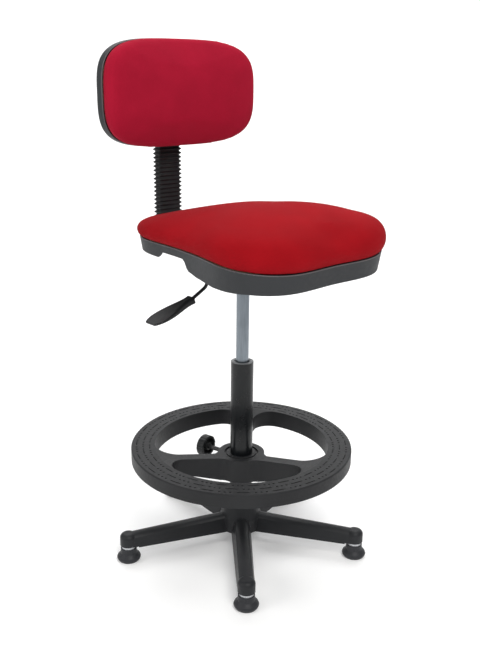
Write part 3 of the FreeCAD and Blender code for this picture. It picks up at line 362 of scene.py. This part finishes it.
def plywood(name, colour):
    """Birch plies: grain along the sheet and thin layers on its edges."""
    look = Look(name)
    grain = look.noise(30, 6.0, (8, 0.7, 1))
    plies = look.threads(180, "Z")
    base = look.ramp(grain, (0.3, shade(colour, 0.75)), (0.55, colour), (0.8, shade(colour, 1.15)))
    base = look.mix(look.between(plies, 0.0, 0.35, 0.4, 1.0), base, shade(colour, 0.55))
    look.set(Base_Color=base, Roughness=look.between(grain, 0.55, 0.75), Normal=look.bump(grain, 0.0002, 0.5))
    return look.material


RED = (0.30, 0.0045, 0.0085)
# The backrest's cover is the same fabric as the seat's, but its red is set lighter and bluer, from how bright the
# backrest looks as lit: painted light.
BACK_RED_PAINTED_LIGHT = (0.35, 0.008, 0.028)
LOOKS = {
    "plastic_dark": lambda: plastic("base_nylon", (0.021, 0.022, 0.024), 0.40),
    "ring_plastic": lambda: plastic("ring_nylon", (0.020, 0.0205, 0.022), 0.46),
    "shell_plastic": lambda: plastic("shell_grain", (0.037, 0.039, 0.042), 0.50, 0.9),
    "knob_plastic": lambda: plastic("knob_nylon", (0.020, 0.021, 0.022), 0.32, 0.3),
    "paddle_plastic": lambda: plastic("paddle_nylon", (0.013, 0.0135, 0.0145), 0.40),
    "glide_plastic": lambda: plastic("glide_nylon", (0.033, 0.034, 0.038), 0.44),
    "guide_plastic": lambda: plastic("guide_acetal", (0.30, 0.31, 0.32), 0.35, 0.2, 0.3, 1.2),
    "tube_paint": lambda: paint("tube_gloss", (0.004, 0.005, 0.006), 0.22, 0.12),
    "bracket_paint": lambda: paint("bracket_satin", (0.016, 0.016, 0.017), 0.38, 0.2),
    "bright_steel": lambda: steel("zinc_steel", (0.55, 0.56, 0.58), 0.28),
    "cylinder_steel": lambda: steel("burnished_steel", (0.23, 0.26, 0.29), 0.24),
    "bearing_steel": lambda: steel("ground_steel", (0.62, 0.63, 0.65), 0.16, (1, 1, 1)),
    "cage_brass": lambda: steel("pressed_brass", (0.66, 0.50, 0.24), 0.30, (1, 1, 1)),
    "buffer_rubber": lambda: rubber("buffer_black", (0.018, 0.018, 0.018)),
    "bellows_rubber": lambda: rubber("bellows_black", (0.014, 0.014, 0.015)),
    "plywood": lambda: plywood("birch_ply", (0.58, 0.43, 0.27)),
    "seat_fabric": lambda: fabric("seat_weave", RED, "X", "Y"),
}


def dress_nodes(record, nodes):
    """Every CAD node gets the material of its slot."""
    made = {}
    for part in record["subparts"]:
        slot = part["material_slot"]
        if slot not in made:
            made[slot] = LOOKS[slot]()
        mesh = nodes[part["node"]].data
        mesh.materials.clear()
        mesh.materials.append(made[slot])
    return made


# ---------------------------------------------------------------- padding


def inflate(made, pinned, cap, voxel, clear):
    """Turns a shaped pad into tight cloth: remesh, a short pressure simulation, capped, one subdivision."""
    remesh = made.modifiers.new("remesh", "REMESH")
    remesh.mode = "VOXEL"
    remesh.voxel_size = voxel
    settle(made, finished(made))
    before = [v.co.copy() for v in made.data.vertices]
    group = made.vertex_groups.new(name="held")
    group.add([i for i, p in enumerate(before) if pinned(p)], 1.0, "REPLACE")
    cloth = made.modifiers.new("cloth", "CLOTH")
    cloth.settings.use_pressure = True
    cloth.settings.uniform_pressure_force = CLOTH_PRESSURE
    cloth.settings.vertex_group_mass = "held"
    cloth.settings.tension_stiffness = CLOTH_STIFFNESS
    cloth.settings.compression_stiffness = CLOTH_STIFFNESS
    cloth.settings.bending_stiffness = CLOTH_BENDING
    cloth.settings.quality = 6
    cloth.settings.effector_weights.gravity = 0
    for number in range(1, CLOTH_FRAMES + 1):
        scene.frame_set(number)
    settle(made, finished(made))
    scene.frame_set(1)
    for vertex, start in zip(made.data.vertices, before):
        move = vertex.co - start
        if move.length > cap:
            move = move.normalized() * cap
        vertex.co = clear(start + move)
    relax = made.modifiers.new("relax", "SMOOTH")
    relax.factor = 0.5
    relax.iterations = RELAX_ROUNDS
    finer = made.modifiers.new("finer", "SUBSURF")
    finer.levels = finer.render_levels = 1
    settle(made, finished(made))
    made.vertex_groups.clear()
    smooth_faces(made.data)


def pad(name, edge_rows, crown_rows):
    """A closed pad from loops that climb its edge and close over its crown and its underside."""
    rows = edge_rows + crown_rows
    points = joined(rows)
    faces = strips(rows)
    size = len(rows[0])
    faces.append(tuple(reversed(range(size))))
    faces.append(tuple((len(rows) - 1) * size + j for j in range(size)))
    return mesh_object(name, points, faces)


# ---------------------------------------------------------------- seat


def rim_height(y, level):
    dip = max(0.0, (-DROOP_START - y) / (-DROOP_START - seat_low.y))
    return level - DROOP * dip * dip


def seat_loop(count):
    """The shell's outline as (x, y) at the crease, found on the CAD shell itself."""
    shell = frame["nodes"]["seat_shell"]
    loop = []
    for i in range(count):
        turn = 2 * math.pi * i / count
        out = Vector((math.cos(turn), math.sin(turn), 0))
        middle = Vector((0, SEAT_MIDDLE, rim_height(SEAT_MIDDLE + out.y * PROBE_SPAN, seat_high.z) - PROBE_DEPTH))
        hit, place, _, _ = shell.ray_cast(middle + out * PROBE_START, -out)
        rise = rim_height(place.y, seat_high.z) - place.z
        loop.append(out * ((place - middle).length + SHELL_SLOPE * rise))
    return loop, seat_high.z


def seat_row(loop, level, inset, height, scale=1.0):
    row = []
    for out in loop:
        flat = (out.length - inset) * scale
        x = out.normalized().x * flat
        y = out.normalized().y * flat + SEAT_MIDDLE
        row.append(Vector((x, y, rim_height(y, level) + height * seat_swell(y))))
    return row


def seat_swell(y):
    """The foam is thin at the back and deep where it rolls over the front."""
    share = (y - seat_low.y) / (seat_high.y - seat_low.y)
    return SWELL_FRONT + (SWELL_REAR - SWELL_FRONT) * share


def make_seat_cushion(material):
    loop, level = seat_loop(SEAT_STEPS)
    edge = [seat_row(loop, level, inset, height) for inset, height in CUSHION_EDGE]
    inset, top = CUSHION_EDGE[-1]
    crown = []
    for scale in SEAT_CROWN_SCALES:
        crown.append(seat_row(loop, level, inset, top + CUSHION_CROWN * (1 - scale * scale), scale))
    cushion = pad("seat_cover", edge, crown)

    def held(point):
        return point.z < rim_height(point.y, level) + HELD_BAND

    def clear(point):
        floor = rim_height(point.y, level) + RIM_CLEARANCE
        return Vector((point.x, point.y, max(point.z, floor)))

    inflate(cushion, held, SEAT_CAP, SEAT_VOXEL, clear)
    cushion.data.materials.append(material)
    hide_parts("seat_cushion")
    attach(cushion, "seat")
    return loop, level


def tube(name, path, radius, sides=10):
    """A closed bead along a loop of points."""
    rows = []
    count = len(path)
    for i, point in enumerate(path):
        along = (path[(i + 1) % count] - path[i - 1]).normalized()
        side = along.cross(Vector((0, 0, 1)))
        side = side.normalized() if side.length > 0.2 else along.cross(Vector((0, 1, 0))).normalized()
        lift = side.cross(along).normalized()
        rows.append([])
        for j in range(sides):
            turn = 2 * math.pi * j / sides
            rows[-1].append(point + side * math.cos(turn) * radius + lift * math.sin(turn) * radius)
    return mesh_object(name, joined(rows), strips(rows, closed_rows=True))


def make_seat_bead(loop, level, material):
    """The shell's rounded top lip, in a grey lighter than the shell: a painted highlight along the rim."""
    path = []
    for out in loop:
        flat = out.length - SEAT_BEAD_INSET
        y = out.normalized().y * flat + SEAT_MIDDLE
        path.append(Vector((out.normalized().x * flat, y, rim_height(y, level) - SEAT_BEAD_DROP)))
    bead = tube("seat_shell_lip", path, SEAT_BEAD_RADIUS)
    bead.data.materials.append(material)
    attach(bead, "seat")


# ---------------------------------------------------------------- backrest


def bow(x):
    """How far forward the curved rim stands at a distance from the middle."""
    return BACK_BOW - math.sqrt(BACK_BOW * BACK_BOW - x * x)


def back_row(inset, forward, scale=1.0, count=176):
    half_width = (back_high.x - back_low.x) / 2 - inset
    half_height = (back_high.z - back_low.z) / 2 - inset
    centre = (back_high.z + back_low.z) / 2
    rim = back_rim()
    power = 2 / BACK_SQUARE
    row = []
    for i in range(count):
        turn = 2 * math.pi * i / count
        c, s = math.cos(turn), math.sin(turn)
        x = math.copysign(abs(c) ** power, c) * half_width * scale
        z = math.copysign(abs(s) ** power, s) * half_height * scale + centre
        row.append(Vector((x, rim - bow(x) - forward, z)))
    return row


def back_rim():
    """The rim plane's place in the middle, from the shell's foremost point."""
    return back_low.y + bow(back_high.x) + SHELL_LIP


def make_back_cushion(material):
    edge = [back_row(inset, SHELL_LIP + forward) for inset, forward in BACK_EDGE]
    inset, top = BACK_EDGE[-1]
    crown = []
    for scale in BACK_CROWN_SCALES:
        crown.append(back_row(inset, SHELL_LIP + top + BACK_CROWN * (1 - scale * scale), scale))
    cushion = pad("back_cover", edge, crown)
    rim = back_rim()

    def held(point):
        return point.y > rim - bow(point.x) - SHELL_LIP - HELD_BAND

    def clear(point):
        rear = rim - bow(point.x) - SHELL_LIP - RIM_CLEARANCE
        return Vector((point.x, min(point.y, rear), point.z))

    inflate(cushion, held, BACK_CAP, BACK_VOXEL, clear)
    cushion.data.materials.append(material)
    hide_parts("back_cushion")
    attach(cushion, "backrest")


def make_back_bead(material):
    # The backrest's lip bead takes the same lighter grey: painted highlight along the rim.
    path = [p - Vector((0, SHELL_LIP, 0)) for p in back_row(BACK_BEAD_RADIUS, 0.0)]
    bead = tube("back_shell_lip", path, BACK_BEAD_RADIUS)
    bead.data.materials.append(material)
    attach(bead, "backrest")


# ---------------------------------------------------------------- bellows


def rounded_loop(half_width, half_depth, corner, per_corner=6):
    """A rounded rectangle as (x, y) points."""
    loop = []
    for quarter in range(4):
        sx = 1 if quarter in (0, 3) else -1
        sy = 1 if quarter in (0, 1) else -1
        for step in range(per_corner + 1):
            turn = math.pi / 2 * (quarter + step / per_corner)
            x = sx * (half_width - corner) + math.cos(turn) * corner
            y = sy * (half_depth - corner) + math.sin(turn) * corner
            loop.append((x, y))
    return loop


def make_bellows(material):
    low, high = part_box("bellows")
    middle = (low + high) / 2
    half_width, half_depth = (high.x - low.x) / 2, (high.y - low.y) / 2
    rows = []
    for i in range(FOLDS * FOLD_STEPS + 1):
        phase = 2 * math.pi * i / FOLD_STEPS
        pull = FOLD_DEPTH * (0.5 + 0.5 * math.cos(phase)) ** 0.8
        corner = BELLOWS_CORNER - 0.4 * pull
        z = low.z + (high.z - low.z) * i / (FOLDS * FOLD_STEPS)
        loop = rounded_loop(half_width - pull, half_depth - pull, corner)
        rows.append([Vector((middle.x + x, middle.y + y, z)) for x, y in loop])
    inner = rounded_loop(
        half_width - FOLD_DEPTH - BELLOWS_WALL,
        half_depth - FOLD_DEPTH - BELLOWS_WALL,
        BELLOWS_INNER_CORNER,
    )
    for z in (high.z, low.z):
        rows.append([Vector((middle.x + x, middle.y + y, z)) for x, y in inner])
    sleeve = mesh_object("bellows_sleeve", joined(rows), strips(rows, closed_rows=True))
    sleeve.data.materials.append(material)
    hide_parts("bellows")
    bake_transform(sleeve)


# ---------------------------------------------------------------- foot ring tread


def arc_pad(points, faces, radius, turn, sweep, width, base, height):
    """Adds one low raised pad, following the ring, with sloping sides."""
    steps = max(2, int(sweep / math.radians(1.2)))
    rows = []
    for i in range(steps + 1):
        share = i / steps
        taper = 0.0 if i in (0, steps) else 1.0
        at = turn + sweep * (share - 0.5)
        row = []
        for side, lift in ((-0.5, 0.0), (-0.32, taper), (0.32, taper), (0.5, 0.0)):
            reach = radius + side * width * (0.55 + 0.45 * taper)
            row.append(Vector((math.cos(at) * reach, math.sin(at) * reach, base + height * lift)))
        rows.append(row)
    first = len(points)
    for row in rows:
        points.extend(row)
    for i in range(steps):
        for j in range(3):
            a = first + i * 4 + j
            faces.append((a, a + 4, a + 5, a + 1))
        a = first + i * 4
        faces.append((a + 3, a + 7, a + 4, a))
    end = first + steps * 4
    faces.append((first, first + 1, first + 2, first + 3))
    faces.append((end + 3, end + 2, end + 1, end))


def dot_pad(points, faces, radius, turn, size, base, height):
    """Adds one low dome."""
    centre = Vector((math.cos(turn) * radius, math.sin(turn) * radius, base))
    first, sides = len(points), 10
    for reach, lift in ((1.0, 0.0), (0.78, 0.7), (0.4, 1.0)):
        for j in range(sides):
            at = 2 * math.pi * j / sides
            out = Vector((math.cos(at), math.sin(at), 0)) * size * reach
            points.append(centre + out + Vector((0, 0, height * lift)))
    for i in range(2):
        for j in range(sides):
            k = (j + 1) % sides
            faces.append((first + i * sides + j, first + i * sides + k,
                          first + (i + 1) * sides + k, first + (i + 1) * sides + j))
    faces.append(tuple(first + j for j in reversed(range(sides))))
    faces.append(tuple(first + 2 * sides + j for j in range(sides)))


# The tread marks take a near-black material: painted shade standing in for the shade in the ring's grooves.
def make_tread(material):
    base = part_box("foot_ring")[1].z - 0.00005
    dash_points, dash_faces, dot_points, dot_faces = [], [], [], []
    periods = round(2 * math.pi / TREAD_PERIOD)
    for number, radius in enumerate(TREAD_ROWS):
        for i in range(periods):
            turn = TREAD_PERIOD * (i + number / len(TREAD_ROWS))
            arc_pad(dash_points, dash_faces, radius, turn, TREAD_DASH, TREAD_WIDTH, base, TREAD_HEIGHT)
            for step in (-1, 0, 1):
                at = turn + TREAD_PERIOD / 2 + step * TREAD_DOT_STEP
                dot_pad(dot_points, dot_faces, radius, at, TREAD_DOT, base, TREAD_HEIGHT)
    for name, points, faces in (
        ("ring_tread_dashes", dash_points, dash_faces),
        ("ring_tread_dots", dot_points, dot_faces),
    ):
        marks = mesh_object(name, points, faces)
        marks.data.materials.append(material)
        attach(marks, "ring")


# ---------------------------------------------------------------- studio


def make_studio():
    """A pale floor that sweeps up behind the chair, soft lights and an even pale surround."""
    turn = Matrix.Rotation(VIEW_TURN, 3, "Z")
    profile = [(-6.0, 0.0), (SWEEP_START, 0.0)]
    for step in range(1, SWEEP_STEPS + 1):
        angle = math.pi / 2 * step / SWEEP_STEPS
        out = SWEEP_START + SWEEP_RADIUS * math.sin(angle)
        profile.append((out, SWEEP_RADIUS - SWEEP_RADIUS * math.cos(angle)))
    profile.append((3.8, 6.0))
    points, faces = [], []
    for y, z in profile:
        for x in (-8.0, 8.0):
            points.append(turn @ Vector((x, y, z)))
    for i in range(len(profile) - 1):
        faces.append((2 * i, 2 * i + 1, 2 * i + 3, 2 * i + 2))
    floor = mesh_object("studio_floor", points, faces)
    look = Look("studio_white")
    speck = look.noise(3, 2.0)
    look.set(Base_Color=look.ramp(speck, (0.3, (0.86, 0.86, 0.86)), (0.7, (0.88, 0.88, 0.88))), Roughness=0.9)
    look.set(Specular_IOR_Level=0.1, Emission_Color=(1.0, 1.0, 1.0, 1.0), Emission_Strength=0.18)
    floor.data.materials.append(look.material)
    world = bpy.data.worlds.new("studio")
    world.use_nodes = True
    background = world.node_tree.nodes["Background"]
    background.inputs["Color"].default_value = (0.97, 0.98, 1.0, 1)
    background.inputs["Strength"].default_value = 0.32
    scene.world = world


def add_light(name, place, target, size, power, colour=(1, 1, 1)):
    """A soft square light; its place and target are given in the camera's turned frame."""
    turn = Matrix.Rotation(VIEW_TURN, 3, "Z")
    data = bpy.data.lights.new(name, "AREA")
    data.size = size
    data.energy = power
    data.color = colour
    light = bpy.data.objects.new(name, data)
    scene.collection.objects.link(light)
    light.location = turn @ Vector(place)
    towards = turn @ Vector(target) - light.location
    light.rotation_euler = towards.to_track_quat("-Z", "Y").to_euler()


def make_lights():
    middle = (0, 0, 0.6)
    add_light("front", (0.6, -1.8, 2.4), middle, 1.4, 48, (1.0, 0.99, 0.97))
    add_light("left", (-2.4, -1.2, 1.5), middle, 1.2, 22, (1.0, 0.99, 0.97))
    add_light("top", (0.2, 0.4, 2.9), middle, 1.8, 8)
    add_light("backdrop", (0.0, 1.6, 2.6), (0, 2.4, 0), 2.5, 60)


def make_camera():
    data = bpy.data.cameras.new("camera")
    data.lens = VIEW_LENS
    data.sensor_width = 36
    data.shift_y = VIEW_SHIFT
    data.clip_start = 0.05
    camera = bpy.data.objects.new("camera", data)
    scene.collection.objects.link(camera)
    turn = Matrix.Rotation(VIEW_TURN, 4, "Z")
    tilt = Matrix.Rotation(math.pi / 2 - VIEW_PITCH, 4, "X")
    roll = Matrix.Rotation(VIEW_ROLL, 4, "Z")
    camera.matrix_world = turn @ Matrix.Translation(Vector(VIEW_PLACE)) @ tilt @ roll
    scene.camera = camera


# ---------------------------------------------------------------- put together

materials = dress_nodes(frame["record"], frame["nodes"])
# The backrest's cover in its lighter, light-matched red: painted light.
back_fabric_painted_light = fabric("back_weave", BACK_RED_PAINTED_LIGHT, "X", "Z")
# The lip beads are painted a grey about three times lighter than the shells: a painted highlight along the rims.
lip = plastic("lip_painted_highlight", (0.11, 0.10, 0.105), 0.38)
# Near-black plastic for the tread marks: painted shade of the ring's grooves.
tread = plastic("tread_painted_shade", (0.006, 0.006, 0.007), 0.6)
seat_outline, seat_level = make_seat_cushion(materials["seat_fabric"])
make_seat_bead(seat_outline, seat_level, lip)
make_back_cushion(back_fabric_painted_light)
make_back_bead(lip)
make_bellows(materials["bellows_rubber"])
make_tread(tread)
make_studio()
make_lights()
make_camera()
scene.view_settings.view_transform = "Standard"
